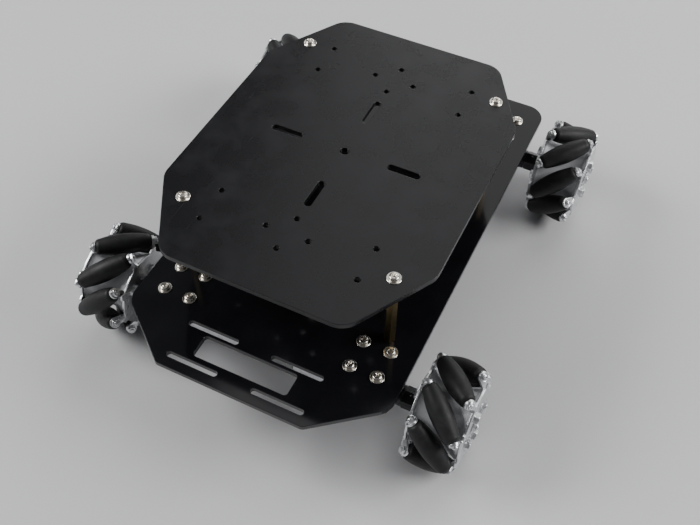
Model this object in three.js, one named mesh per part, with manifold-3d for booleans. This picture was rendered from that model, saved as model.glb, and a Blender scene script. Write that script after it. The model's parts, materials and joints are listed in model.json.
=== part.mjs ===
// Four wheel robot chassis: two acrylic decks on hex standoffs, four gearmotors hung in angle brackets
// under the lower plate, and four wheels with eight free barrel rollers each, set at 45 degrees.
//
// Millimetres. +X is the robot's right, +Y its rear, +Z up. The floor is z = 0, and the origin is the
// middle of the footprint, from the lower plate's front edge to the back of the rear wheels.

import * as THREE from 'three';
import { mergeVertices } from 'three/addons/utils/BufferGeometryUtils.js';
import Module from 'manifold-3d';

const wasm = await Module();
wasm.setup();

// ---------------------------------------------------------------- driving dimensions

const FIT_GAP = 0.3;                    // between pieces that touch
const SCREW_R = 1.5;                    // M3 shank
const SCREW_HOLE_R = 1.9;
const SCREW_HEAD = { washerR: 3.7, washer: 0.7, crownR: 2.2, crown: 2.2, height: 2.6 };
const NUT = { acrossFlats: 5.5, height: 2.4 };

const WHEEL_R = 30;                     // over the rubber
const WHEELBASE = 190;
const WHEEL_X = 97;                     // middle plane of a wheel
const FRONT_AXLE_SETBACK = 48.5;        // from the lower plate's front edge
const OVERALL_LENGTH = FRONT_AXLE_SETBACK + WHEELBASE + WHEEL_R;
const FRONT_EDGE_Y = -OVERALL_LENGTH / 2;
const FRONT_AXLE_Y = FRONT_EDGE_Y + FRONT_AXLE_SETBACK;
const REAR_AXLE_Y = FRONT_AXLE_Y + WHEELBASE;

const AXLE_TO_PLATE = 18;
const PLATE_BOTTOM = WHEEL_R + AXLE_TO_PLATE;
const PLATE = { halfWidth: 75, length: 263.5, thickness: 3, noseHalfWidth: 41, shoulder: 27 };
const PLATE_CORNERS = { nose: 4, shoulder: 13, rear: 11 };
const PLATE_TOP = PLATE_BOTTOM + PLATE.thickness;
const NOSE_SLOT = { inner: 9.5, outer: 38.5, width: 3.3, setbacks: [7, 27.8] };
const NOSE_WINDOW = { halfWidth: 26.5, front: 11.5, back: 24.5, corner: 2 };

const STANDOFF = { acrossFlats: 5.2, length: 47, halfX: 57.4, halfY: 68, centreSetback: 131.8 };
const STANDOFF_ENDS = { bore: 9, studRoot: 1, studBelowPlate: 3 };
const STANDOFF_CENTRE_Y = FRONT_EDGE_Y + STANDOFF.centreSetback;

const DECK = { halfWidth: 75, halfLength: 100, thickness: 3, cutX: 26, cutY: 45, corner: 12, setback: 28.5 };
const DECK_SCREW_SHANK = 8;
const DECK_BOTTOM = PLATE_TOP + STANDOFF.length;
const DECK_TOP = DECK_BOTTOM + DECK.thickness;
const DECK_CENTRE_Y = FRONT_EDGE_Y + DECK.setback + DECK.halfLength;
const DECK_SLOT = { centre: 33.5, length: 18.5, width: 4 };
const DECK_HOLES = { centreR: 2.4, smallR: 1.6, gridX: 42.5, gridY: [52.4, 73] };
const DECK_DIAMOND = { y: 62.7, halfX: 11.5, halfY: 10.3 };       // four more holes at each end

const BRACKET = { thickness: 2.5, inner: 41.5, outer: 68, width: 24, holesX: [46.5, 61.5], holeHalfY: 8 };
const MOTOR = { gearboxR: 12.3, gearboxLength: 19, canR: 12, canLength: 31, bossR: 3.6, screwRadius: 8.5 };
const MOTOR_CAP = { radius: 5, length: 2, shoulder: 1 };
const TERMINAL = { length: 5, thickness: 0.8, width: 2.6, halfSpread: 8, capOverlap: 1 };
const FACE_SCREW = { radius: 2.8, crownR: 2.6, height: 1.8, root: 1 };
const SHAFT_R = 2;
const SHAFT_CLEARANCE = 0.5;
const COUPLING = { radius: 6, gap: 2.6, spigotR: 5, spigotLength: 11, spigotRoom: 0.5 };

const ROLLER_COUNT = 8;
const ROLLER_TWIST = Math.PI / 4;
const ROLLER = { axisR: 24, halfLength: 15, shoulder: 12.5, endR: 2.9, boreR: 1.9 };
const PIN_R = 1.4;
const PIN_PROUD = 1.8;
const EAR = { seat: 15.75, thickness: 1.3, radius: 2.9 };       // seat: from the roller's middle
const EAR_FOLD = -3.3;
const EAR_ROOT = 18;
const SIDE_PLATE = { inner: 13, thickness: 1.5, radius: 21.5, armInner: 4.6, armOuter: 9.6, armTop: 25.5 };
const WHEEL_FACE = SIDE_PLATE.inner + SIDE_PLATE.thickness;
const DRUM = { waist: 16.3, flare: 3 };
const WHEEL_BOLTS = { count: 4, radius: 11, headHeight: 2.2 };
const CENTRE_SCREW = { radius: 3.8, crownR: 3.3, height: 2.6, root: 0.5 };
const FRONT_PHASE = THREE.MathUtils.degToRad(-14);
const REAR_PHASE = THREE.MathUtils.degToRad(-25);

// ---------------------------------------------------------------- materials

const finish = (color, roughness, metalness) => () =>
  new THREE.MeshStandardMaterial({ color, roughness, metalness });

const satinAcrylic = finish(0x0b0b0d, 0.35, 0);
const glossAcrylic = finish(0x08080a, 0.12, 0);
const brass = finish(0xb08d4a, 0.3, 1);
const nickel = finish(0xd2cdc2, 0.22, 1);
const blackMetal = finish(0x161618, 0.45, 0.6);
const motorSteel = finish(0x9b9c9f, 0.35, 1);
const platedSteel = finish(0xcfd2d4, 0.25, 1);
const rubber = finish(0x1c1c1e, 0.75, 0);

// ---------------------------------------------------------------- outlines and solids

const EIGHTH_TURN = Math.PI / 4;

function arc(x, y, radius, from, to, step = EIGHTH_TURN) {
  const count = Math.max(1, Math.round(Math.abs(to - from) / step));
  return Array.from({ length: count + 1 }, (_, i) => {
    const angle = from + ((to - from) * i) / count;
    return new THREE.Vector2(x + radius * Math.cos(angle), y + radius * Math.sin(angle));
  });
}

const circle = (x, y, radius) => arc(x, y, radius, 0, 2 * Math.PI).slice(1);

// A round-ended slot between two points on one line along x or y.
function slot(x0, y0, x1, y1, width) {
  const heading = Math.atan2(y1 - y0, x1 - x0);
  const quarter = Math.PI / 2;
  return [
    ...arc(x1, y1, width / 2, heading - quarter, heading + quarter),
    ...arc(x0, y0, width / 2, heading + quarter, heading + 3 * quarter),
  ];
}

// A convex counter-clockwise polygon whose corners are rounded, each by its own radius.
function roundedPolygon(corners) {
  return corners.flatMap(([x, y, radius], i) => {
    const corner = new THREE.Vector2(x, y);
    const before = new THREE.Vector2(...corners.at(i - 1).slice(0, 2));
    const after = new THREE.Vector2(...corners[(i + 1) % corners.length].slice(0, 2));
    const into = corner.clone().sub(before).normalize();
    const away = after.sub(corner).normalize();
    const turn = Math.acos(into.dot(away));
    const start = corner.clone().addScaledVector(into, -radius * Math.tan(turn / 2));
    const centre = start.add(new THREE.Vector2(-into.y, into.x).multiplyScalar(radius));
    const from = into.angle() - Math.PI / 2;
    return arc(centre.x, centre.y, radius, from, from + turn, EIGHTH_TURN / 3);
  });
}

// An outline with holes, extruded upwards from z = bottom.
function slab(outline, holes, bottom, thickness) {
  const shape = new THREE.Shape(outline);
  shape.holes = holes.map((points) => new THREE.Path(points));
  const geometry = new THREE.ExtrudeGeometry(shape, { depth: thickness, bevelEnabled: false });
  return geometry.translate(0, 0, bottom);
}

// Stands a slab up, so that its outline lies in the YZ plane and its thickness along +X.
const standing = (geometry) => geometry.rotateX(Math.PI / 2).rotateZ(Math.PI / 2);

// A body of revolution about X, from [x, radius] pairs that run towards +X along the outside.
function turned(profile, segments) {
  const points = profile.map(([x, radius]) => new THREE.Vector2(radius, x));
  return new THREE.LatheGeometry(points, segments).rotateZ(-Math.PI / 2);
}

// The same about Z, from [z, radius] pairs.
function turnedUpright(profile, segments) {
  const points = profile.map(([z, radius]) => new THREE.Vector2(radius, z));
  return new THREE.LatheGeometry(points, segments).rotateX(Math.PI / 2);
}

const hexRadius = (acrossFlats) => acrossFlats / 2 / Math.cos(Math.PI / 6);

function solid(geometry) {
  const bare = geometry.clone();
  bare.deleteAttribute('normal');
  bare.deleteAttribute('uv');
  const merged = mergeVertices(bare, 1e-4);
  const vertProperties = new Float32Array(merged.attributes.position.array);
  const triVerts = new Uint32Array(merged.index.array);
  return new wasm.Manifold(new wasm.Mesh({ numProp: 3, vertProperties, triVerts }));
}

function geometryOf(manifold) {
  const { vertProperties, triVerts } = manifold.getMesh();
  const geometry = new THREE.BufferGeometry();
  geometry.setAttribute('position', new THREE.BufferAttribute(new Float32Array(vertProperties), 3));
  geometry.setIndex(new THREE.BufferAttribute(new Uint32Array(triVerts), 1));
  geometry.computeVertexNormals();
  return geometry;
}

const joined = (geometries) => geometries.map(solid).reduce((whole, piece) => whole.add(piece));

function named(name, geometry, material) {
  const mesh = new THREE.Mesh(geometry, material());
  mesh.name = name;
  return mesh;
}

// ---------------------------------------------------------------- decks

function deckHoles() {
  const holes = [circle(0, 0, DECK_HOLES.centreR)];
  const reach = (DECK_SLOT.length - DECK_SLOT.width) / 2;
  for (const side of [-1, 1]) {
    const [near, far] = [side * DECK_SLOT.centre - reach, side * DECK_SLOT.centre + reach];
    holes.push(slot(near, 0, far, 0, DECK_SLOT.width), slot(0, near, 0, far, DECK_SLOT.width));
    for (const along of [-1, 1]) {
      for (const y of DECK_HOLES.gridY) {
        holes.push(circle(side * DECK_HOLES.gridX, along * y, DECK_HOLES.smallR));
      }
    }
    const { y, halfX, halfY } = DECK_DIAMOND;
    for (const [x, offset] of [[-halfX, 0], [halfX, 0], [0, -halfY], [0, halfY]]) {
      holes.push(circle(x, side * y + offset, DECK_HOLES.smallR));
    }
  }
  return holes;
}

function standoffPlaces() {
  const { halfX, halfY } = STANDOFF;
  return [
    ['fl', -halfX, STANDOFF_CENTRE_Y - halfY],
    ['fr', halfX, STANDOFF_CENTRE_Y - halfY],
    ['rl', -halfX, STANDOFF_CENTRE_Y + halfY],
    ['rr', halfX, STANDOFF_CENTRE_Y + halfY],
  ];
}

function deck() {
  const { halfWidth, halfLength, cutX, cutY, corner } = DECK;
  const outline = roundedPolygon([
    [halfWidth, -halfLength + cutY, corner],
    [halfWidth, halfLength - cutY, corner],
    [halfWidth - cutX, halfLength, corner],
    [-halfWidth + cutX, halfLength, corner],
    [-halfWidth, halfLength - cutY, corner],
    [-halfWidth, -halfLength + cutY, corner],
    [-halfWidth + cutX, -halfLength, corner],
    [halfWidth - cutX, -halfLength, corner],
  ]);
  const screwHoles = standoffPlaces().map(([, x, y]) => circle(x, y - DECK_CENTRE_Y, SCREW_HOLE_R));
  const sheet = slab(outline, [...deckHoles(), ...screwHoles], 0, DECK.thickness);
  const mesh = named('deck', sheet, satinAcrylic);
  mesh.position.set(0, DECK_CENTRE_Y, DECK_BOTTOM);
  return mesh;
}

function bracketScrewPlaces() {
  return [FRONT_AXLE_Y, REAR_AXLE_Y].flatMap((axle) =>
    [-1, 1].flatMap((side) =>
      BRACKET.holesX.flatMap((x) =>
        [-1, 1].map((along) => [side * x, axle + along * BRACKET.holeHalfY]))));
}

function lowerPlate() {
  const { halfWidth, length, noseHalfWidth, shoulder } = PLATE;
  const rear = FRONT_EDGE_Y + length;
  const outline = roundedPolygon([
    [noseHalfWidth, FRONT_EDGE_Y, PLATE_CORNERS.nose],
    [halfWidth, FRONT_EDGE_Y + shoulder, PLATE_CORNERS.shoulder],
    [halfWidth, rear, PLATE_CORNERS.rear],
    [-halfWidth, rear, PLATE_CORNERS.rear],
    [-halfWidth, FRONT_EDGE_Y + shoulder, PLATE_CORNERS.shoulder],
    [-noseHalfWidth, FRONT_EDGE_Y, PLATE_CORNERS.nose],
  ]);
  const holes = [];
  const end = NOSE_SLOT.width / 2;
  for (const setback of NOSE_SLOT.setbacks) {
    const y = FRONT_EDGE_Y + setback;
    holes.push(slot(NOSE_SLOT.inner + end, y, NOSE_SLOT.outer - end, y, NOSE_SLOT.width));
    holes.push(slot(end - NOSE_SLOT.outer, y, -NOSE_SLOT.inner - end, y, NOSE_SLOT.width));
  }
  const windowFront = FRONT_EDGE_Y + NOSE_WINDOW.front;
  const windowBack = FRONT_EDGE_Y + NOSE_WINDOW.back;
  holes.push(roundedPolygon([
    [NOSE_WINDOW.halfWidth, windowFront, NOSE_WINDOW.corner],
    [NOSE_WINDOW.halfWidth, windowBack, NOSE_WINDOW.corner],
    [-NOSE_WINDOW.halfWidth, windowBack, NOSE_WINDOW.corner],
    [-NOSE_WINDOW.halfWidth, windowFront, NOSE_WINDOW.corner],
  ]));
  const screwHoles = [...standoffPlaces().map(([, x, y]) => [x, y]), ...bracketScrewPlaces()];
  holes.push(...screwHoles.map(([x, y]) => circle(x, y, SCREW_HOLE_R)));
  return named('lower_plate', slab(outline, holes, PLATE_BOTTOM, PLATE.thickness), glossAcrylic);
}

// A pan head on its washer, seated at z = 0, with its shank below.
function panScrew(shankLength, segments) {
  const { washerR, washer, crownR, crown, height } = SCREW_HEAD;
  return turnedUpright([
    [-shankLength, 0], [-shankLength, SCREW_R], [0, SCREW_R], [0, washerR], [washer, washerR],
    [crown, crownR], [height, 0],
  ], segments);
}

function deckScrews() {
  return standoffPlaces().map(([corner, x, y]) => {
    const screw = named(`deck_screw_${corner}`, panScrew(DECK_SCREW_SHANK, 12), nickel);
    screw.position.set(x, y, DECK_TOP + FIT_GAP);
    return screw;
  });
}

// A hex pillar with a tapped top, and a stud through the lower plate that a nut holds from below.
function standoffGeometry() {
  const length = STANDOFF.length - 2 * FIT_GAP;
  const boreEnd = length - STANDOFF_ENDS.bore;
  const hex = hexRadius(STANDOFF.acrossFlats);
  const pillar = turnedUpright([
    [0, 0], [0, hex], [length, hex], [length, SCREW_HOLE_R], [boreEnd, SCREW_HOLE_R], [boreEnd, 0],
  ], 6);
  const stud = PLATE.thickness + FIT_GAP + STANDOFF_ENDS.studBelowPlate;
  const { studRoot } = STANDOFF_ENDS;
  const shank = turnedUpright([[-stud, 0], [-stud, SCREW_R], [studRoot, SCREW_R], [studRoot, 0]], 8);
  const nutR = hexRadius(NUT.acrossFlats);
  const nutTop = -PLATE.thickness - 2 * FIT_GAP;
  const nutBase = nutTop - NUT.height;
  const nut = turnedUpright([[nutBase, 0], [nutBase, nutR], [nutTop, nutR], [nutTop, 0]], 6);
  return geometryOf(joined([pillar, shank, nut.rotateZ(Math.PI / 6)]));
}

function standoffs() {
  const geometry = standoffGeometry();
  return standoffPlaces().map(([corner, x, y]) => {
    const pillar = named(`standoff_${corner}`, geometry, brass);
    pillar.position.set(x, y, PLATE_TOP + FIT_GAP);
    return pillar;
  });
}

// ---------------------------------------------------------------- drives
// A drive is made about its axle: x runs outwards from the robot's middle, and z = 0 is the axle.

const FACE_X = BRACKET.outer - BRACKET.thickness;
const BRACKET_TOP = AXLE_TO_PLATE - FIT_GAP;
const SCREW_SEAT = AXLE_TO_PLATE + PLATE.thickness + FIT_GAP;

// The upright leg, seen along the axle: square at the top, round about the axle below.
function bracketLeg() {
  const half = BRACKET.width / 2;
  const outline = [
    new THREE.Vector2(half, BRACKET_TOP),
    new THREE.Vector2(-half, BRACKET_TOP),
    ...arc(0, 0, half, Math.PI, 2 * Math.PI, Math.PI / 8),
  ];
  const screwHoles = [-1, 1].map((side) => circle(side * MOTOR.screwRadius, 0, SCREW_HOLE_R));
  const bossHole = circle(0, 0, MOTOR.bossR + FIT_GAP);
  const leg = slab(outline, [bossHole, ...screwHoles], 0, BRACKET.thickness);
  return standing(leg).translate(FACE_X, 0, 0);
}

// The bracket with the four screws that clamp it to the lower plate.
function bracketGeometry() {
  const foot = new THREE.BoxGeometry(BRACKET.outer - BRACKET.inner, BRACKET.width, BRACKET.thickness);
  foot.translate((BRACKET.outer + BRACKET.inner) / 2, 0, BRACKET_TOP - BRACKET.thickness / 2);
  const reach = SCREW_SEAT - BRACKET_TOP + BRACKET.thickness;
  const screws = BRACKET.holesX.flatMap((x) =>
    [-1, 1].map((along) => panScrew(reach, 8).translate(x, along * BRACKET.holeHalfY, SCREW_SEAT)));
  return geometryOf(joined([foot, bracketLeg(), ...screws]));
}

// Gearbox, motor can and end cap, with two terminals and the two screws that hold it to the bracket.
function gearmotorGeometry() {
  const face = FACE_X - FIT_GAP;
  const canStart = face - MOTOR.gearboxLength;
  const canEnd = canStart - MOTOR.canLength;
  const { radius: capR, length: cap, shoulder } = MOTOR_CAP;
  const bossEnd = BRACKET.outer - FIT_GAP / 2;
  const shaftBore = SHAFT_R + SHAFT_CLEARANCE;
  const boreEnd = face - cap;
  const body = turned([
    [canEnd - cap, 0], [canEnd - cap, capR], [canEnd, capR], [canEnd, MOTOR.canR - shoulder],
    [canEnd + shoulder, MOTOR.canR], [canStart, MOTOR.canR], [canStart, MOTOR.gearboxR],
    [face, MOTOR.gearboxR], [face, MOTOR.bossR], [bossEnd, MOTOR.bossR], [bossEnd, shaftBore],
    [boreEnd, shaftBore], [boreEnd, 0],
  ], 14);
  const root = face - FACE_SCREW.root;
  const seat = BRACKET.outer + FIT_GAP;
  const top = seat + FACE_SCREW.height;
  const screws = [-1, 1].map((side) => turned([
    [root, 0], [root, SCREW_R], [seat, SCREW_R], [seat, FACE_SCREW.radius], [top, FACE_SCREW.crownR],
    [top, 0],
  ], 8).translate(0, side * MOTOR.screwRadius, 0));
  const terminalX = canEnd + TERMINAL.capOverlap - TERMINAL.length / 2;
  const terminals = [-1, 1].map((side) =>
    new THREE.BoxGeometry(TERMINAL.length, TERMINAL.thickness, TERMINAL.width)
      .translate(terminalX, side * TERMINAL.halfSpread, 0));
  return geometryOf(joined([body, ...screws, ...terminals]));
}

// The motor's output shaft with the coupling clamped on it, whose spigot carries the wheel.
function couplingGeometry() {
  const { radius, gap, spigotR, spigotLength } = COUPLING;
  const start = BRACKET.outer + gap;
  const seat = WHEEL_X - WHEEL_FACE - FIT_GAP;
  const spigotEnd = seat + FIT_GAP + spigotLength;
  return turned([
    [FACE_X, 0], [FACE_X, SHAFT_R], [start, SHAFT_R], [start, radius], [seat, radius], [seat, spigotR],
    [spigotEnd, spigotR], [spigotEnd, 0],
  ], 12);
}

// ---------------------------------------------------------------- wheels
// A wheel is made about its own middle: x is the axle, and +x is the outer side.

// Radius that brings the roller, lying askew at a distance along its axis, out to the wheel's tread circle.
function treadRadius(along) {
  const sideways = along * Math.sin(ROLLER_TWIST);
  const reachAt = (radius) => {
    let furthest = 0;
    for (let angle = 0; angle <= Math.PI / 2; angle += Math.PI / 180) {
      const y = sideways + radius * Math.sin(angle) * Math.cos(ROLLER_TWIST);
      furthest = Math.max(furthest, Math.hypot(y, ROLLER.axisR + radius * Math.cos(angle)));
    }
    return furthest;
  };
  let [low, high] = [0, WHEEL_R];
  for (let step = 0; step < 24; step += 1) {
    const middle = (low + high) / 2;
    if (reachAt(middle) > WHEEL_R) high = middle;
    else low = middle;
  }
  return low;
}

function rollerGeometry() {
  const { halfLength, shoulder, endR, boreR } = ROLLER;
  const profile = [...[5, shoulder].map((x) => [x, treadRadius(x)]), [halfLength, endR]];
  return turned([
    [-halfLength, boreR],
    ...profile.map(([x, radius]) => [-x, radius]).reverse(),
    ...profile,
    [halfLength, boreR],
    [-halfLength, boreR],
  ], 10);
}

// One of the sixteen ears: a tab folded out of the side plate until it stands square to the roller's axis.
function ear() {
  const { seat, thickness, radius } = EAR;
  const outline = [
    new THREE.Vector2(EAR_FOLD, EAR_ROOT),
    new THREE.Vector2(radius, EAR_ROOT),
    ...arc(0, ROLLER.axisR, radius, 0, Math.PI, Math.PI / 3),
    new THREE.Vector2(EAR_FOLD, ROLLER.axisR),
  ];
  const tab = standing(slab(outline, [], 0, thickness));
  return tab.translate(seat - thickness / 2, 0, 0).rotateZ(ROLLER_TWIST);
}

// The pin that a roller turns on, from ear to ear and just past both.
function rollerPin() {
  const end = EAR.seat + EAR.thickness / 2 + PIN_PROUD;
  const pin = turned([[-end, 0], [-end, PIN_R], [end, PIN_R], [end, 0]], 6);
  return pin.rotateZ(ROLLER_TWIST).translate(0, 0, ROLLER.axisR);
}

// A stamped disc with eight short arms, each ending at the fold line of its ear.
function sidePlate() {
  const { inner, thickness, radius, armInner, armOuter, armTop } = SIDE_PLATE;
  const outline = [];
  for (let i = 0; i < ROLLER_COUNT; i += 1) {
    const turn = (i * 2 * Math.PI) / ROLLER_COUNT;
    const rim = (y) => new THREE.Vector2(y, Math.sqrt(radius * radius - y * y));
    const between = new THREE.Vector2(0, radius).rotateAround(new THREE.Vector2(), Math.PI / 24);
    const arm = [between, rim(armInner), new THREE.Vector2(armInner, armTop),
      new THREE.Vector2(armOuter, armTop), rim(armOuter)];
    outline.push(...arm.map((point) => point.rotateAround(new THREE.Vector2(), -turn)));
  }
  return standing(slab(outline, [], 0, thickness)).translate(inner, 0, 0);
}

function drum() {
  const end = SIDE_PLATE.inner + SIDE_PLATE.thickness / 2;
  const stations = [-1, -0.5, 0.5, 1].map((t) => [t * end, DRUM.waist + DRUM.flare * t * t]);
  return turned([[-end, 0], ...stations, [end, 0]], 16);
}

function wheelBolt(index) {
  const angle = ((index + 0.25) * 2 * Math.PI) / WHEEL_BOLTS.count;
  const hex = hexRadius(NUT.acrossFlats);
  const nutEnd = -WHEEL_FACE - NUT.height;
  const headEnd = WHEEL_FACE + WHEEL_BOLTS.headHeight;
  return turned([[nutEnd, 0], [nutEnd, hex], [headEnd, hex], [headEnd, 0]], 6)
    .translate(0, 0, WHEEL_BOLTS.radius)
    .rotateX(angle);
}

// The hub drum, both side plates with their ears, the roller pins and the bolts, for a right-hand twist.
function wheelFrame() {
  const pieces = [drum(), sidePlate(), sidePlate().rotateZ(Math.PI)];
  for (let i = 0; i < ROLLER_COUNT; i += 1) {
    const turn = (i * 2 * Math.PI) / ROLLER_COUNT;
    const spoke = [ear(), ear().rotateZ(Math.PI), rollerPin()];
    pieces.push(...spoke.map((piece) => piece.rotateX(turn)));
  }
  for (let i = 0; i < WHEEL_BOLTS.count; i += 1) pieces.push(wheelBolt(i));
  const root = WHEEL_FACE - CENTRE_SCREW.root;
  const top = WHEEL_FACE + CENTRE_SCREW.height;
  pieces.push(turned([[root, 0], [root, CENTRE_SCREW.radius], [top, CENTRE_SCREW.crownR], [top, 0]], 10));
  const boreR = COUPLING.spigotR + FIT_GAP;
  const boreStart = -WHEEL_FACE - 1;
  const boreEnd = -WHEEL_FACE + COUPLING.spigotLength + COUPLING.spigotRoom;
  const bore = turned([[boreStart, 0], [boreStart, boreR], [boreEnd, boreR], [boreEnd, 0]], 12);
  return joined(pieces).subtract(solid(bore));
}

const wheelFrames = (() => {
  const right = wheelFrame();
  return { 1: geometryOf(right), '-1': geometryOf(right.mirror([0, 1, 0])) };
})();

// ---------------------------------------------------------------- assembly

function drive(corner, side, axleY) {
  const group = new THREE.Group();
  const isFront = axleY < 0;
  const place = new THREE.Group();
  place.position.set(0, axleY, WHEEL_R);
  place.rotation.z = side > 0 ? 0 : Math.PI;
  place.add(named(`motor_bracket_${corner}`, bracketGeometry(), blackMetal));
  place.add(named(`gearmotor_${corner}`, gearmotorGeometry(), motorSteel));
  place.add(named(`shaft_coupling_${corner}`, couplingGeometry(), blackMetal));
  group.add(place);

  // Wheel hands alternate, so that the top rollers of the four wheels make a diamond. A left wheel is
  // turned half way round the vertical, which keeps its hand and reverses its angle about the axle.
  const hand = (isFront ? -1 : 1) * side;
  const wheel = new THREE.Group();
  wheel.position.set(WHEEL_X, 0, 0);
  wheel.rotation.x = side * (isFront ? FRONT_PHASE : REAR_PHASE);
  wheel.add(named(`wheel_frame_${corner}`, wheelFrames[hand], platedSteel));
  for (let i = 0; i < ROLLER_COUNT; i += 1) {
    const spoke = new THREE.Group();
    spoke.rotation.x = (i * 2 * Math.PI) / ROLLER_COUNT;
    const roller = named(`roller_${corner}_${i + 1}`, rollerGeometry(), rubber);
    roller.position.set(0, 0, ROLLER.axisR);
    roller.rotation.z = hand * ROLLER_TWIST;
    spoke.add(roller);
    wheel.add(spoke);
  }
  place.add(wheel);
  return group;
}

const chassis = new THREE.Group();
chassis.add(deck(), lowerPlate(), ...deckScrews(), ...standoffs());
chassis.add(drive('fl', -1, FRONT_AXLE_Y), drive('fr', 1, FRONT_AXLE_Y));
chassis.add(drive('rl', -1, REAR_AXLE_Y), drive('rr', 1, REAR_AXLE_Y));

export default chassis;
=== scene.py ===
"""Looks of a four wheel robot chassis: two black acrylic decks, gearmotors in folded brackets, and four
wheels of eight barrel rollers. Shapes are written in millimetres and made in metres around the CAD frame."""

import json
import math

import bmesh
import bpy
from mathutils import Matrix, Vector


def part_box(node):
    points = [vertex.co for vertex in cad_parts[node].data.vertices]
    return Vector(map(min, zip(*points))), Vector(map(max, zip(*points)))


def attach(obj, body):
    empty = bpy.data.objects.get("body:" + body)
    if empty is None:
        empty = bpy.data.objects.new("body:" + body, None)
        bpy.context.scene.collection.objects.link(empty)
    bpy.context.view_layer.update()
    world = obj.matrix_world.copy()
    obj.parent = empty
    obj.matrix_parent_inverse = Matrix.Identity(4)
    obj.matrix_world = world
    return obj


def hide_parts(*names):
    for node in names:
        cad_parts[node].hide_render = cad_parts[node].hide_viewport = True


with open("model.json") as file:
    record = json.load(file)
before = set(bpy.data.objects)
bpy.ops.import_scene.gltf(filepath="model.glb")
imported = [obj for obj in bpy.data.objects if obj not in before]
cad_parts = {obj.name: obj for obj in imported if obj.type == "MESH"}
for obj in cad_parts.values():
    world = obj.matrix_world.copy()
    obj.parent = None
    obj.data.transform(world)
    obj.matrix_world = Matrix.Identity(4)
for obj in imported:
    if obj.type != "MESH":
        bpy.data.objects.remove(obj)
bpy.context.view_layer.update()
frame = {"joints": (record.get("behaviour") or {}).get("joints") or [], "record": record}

MM = 0.001
CORNERS = ("fl", "fr", "rl", "rr")
JOINTS = {joint["name"]: joint for joint in frame["joints"]}
SLOTS = {entry["slot"]: entry for entry in frame["record"]["materials"]}

# ---------------------------------------------------------------- driving dimensions, in millimetres

DECK_THICKNESS = 3.0
DECK_CUT = (26.0, 45.0)
DECK_CORNER_R = 12.0
DECK_SLOT = {"centre": 33.5, "length": 18.5, "width": 4.0}
DECK_CENTRE_HOLE_R = 2.4
DECK_HOLE_R = 1.6
DECK_GRID = (42.5, (52.4, 73.0))
DECK_DIAMOND = (62.7, (11.5, 10.3))

NOSE_HALF_WIDTH = 41.0
NOSE_SHOULDER = 27.0
NOSE_SLOT = {"inner": 9.5, "outer": 38.5, "width": 3.3, "setbacks": (7.0, 27.8)}
NOSE_WINDOW = {"half_width": 26.5, "front": 11.5, "back": 24.5, "corner": 2.0}

SCREW_HOLE_R = 1.75
SCREW_HEAD_R = 3.7
NUT_R = 5.5 / math.sqrt(3)
SHANK_R = 1.45
STANDOFF_FLAT = 2.6
BRACKET = {"inner": 41.5, "outer": 68.0, "width": 24.0, "thickness": 2.5, "bend": 1.2,
           "screws_x": (46.5, 61.5), "screws_y": 8.0}
AXLE_TO_PLATE = 18.0
GEARBOX = {"radius": 12.3, "length": 19.0}
CAN = {"radius": 12.0, "length": 31.0}
BOSS_R = 3.5
MOTOR_SCREWS = 8.5
MOTOR_SCREW_HOLE_R = 1.6
SHAFT_R = 2.0
COUPLING_R = 6.0

WHEEL_R = 29.8
WHEEL_HALF = 14.5
ROLLER_COUNT = 8
ROLLER_AXIS_R = 24.0
ROLLER_HALF = 15.0
ROLLER_SHOULDER = 12.5
ROLLER_END_R = 2.9
ROLLER_SEGMENTS = 56
BUSH_BORE_R = 1.52
SHEET = 1.3
EAR_SEAT = 15.75
EAR_R = 2.95
EAR_FOLD = -3.5
PLATE_DISC_R = 20.8
PLATE_HOLE_R = 5.2
PLATE_ARM = {"inner": 5.4, "outer": 9.2, "top": 22.2, "valley": 19.6}
DRUM = {"waist": 16.3, "flare": 3.0}
WHEEL_BOLTS = {"count": 4, "radius": 11.0}

# ---------------------------------------------------------------- outlines, as lists of (x, y)


def arc(x, y, radius, start, end, step=math.radians(6)):
    count = max(2, round(abs(end - start) / step))
    angles = [start + (end - start) * i / count for i in range(count + 1)]
    return [(x + radius * math.cos(a), y + radius * math.sin(a)) for a in angles]


def circle(x, y, radius, step=math.radians(10)):
    return arc(x, y, radius, 0, 2 * math.pi, step)[:-1]


def slot_outline(x0, y0, x1, y1, width):
    heading = math.atan2(y1 - y0, x1 - x0)
    quarter = math.pi / 2
    far = arc(x1, y1, width / 2, heading - quarter, heading + quarter, math.radians(9))
    near = arc(x0, y0, width / 2, heading + quarter, heading + 3 * quarter, math.radians(9))
    return far + near


def rounded_polygon(corners):
    """A convex counter-clockwise outline from (x, y, corner radius)."""
    outline = []
    for i, (x, y, radius) in enumerate(corners):
        here = Vector((x, y))
        into = (here - Vector(corners[i - 1][:2])).normalized()
        away = (Vector(corners[(i + 1) % len(corners)][:2]) - here).normalized()
        turn = math.acos(max(-1, min(1, into.dot(away))))
        start = here - into * radius * math.tan(turn / 2)
        centre = start + Vector((-into.y, into.x)) * radius
        angle = math.atan2(into.y, into.x) - math.pi / 2
        outline += arc(centre.x, centre.y, radius, angle, angle + turn)
    return outline


def four_ways(x, y):
    return [(sx * x, sy * y) for sx in (-1, 1) for sy in (-1, 1)]


# ---------------------------------------------------------------- meshes, written in millimetres


def from_bmesh(name, bm, smooth=32):
    """Ends a bmesh: merges touching vertices, turns faces out and smooths all but the sharp edges."""
    bmesh.ops.remove_doubles(bm, verts=bm.verts, dist=0.002)
    bmesh.ops.recalc_face_normals(bm, faces=bm.faces)
    mesh = bpy.data.meshes.new(name)
    bm.to_mesh(mesh)
    bm.free()
    shade(mesh, smooth)
    return mesh


def shade(mesh, angle=32):
    mesh.polygons.foreach_set("use_smooth", [True] * len(mesh.polygons))
    mesh.set_sharp_from_angle(angle=math.radians(angle))


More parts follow.
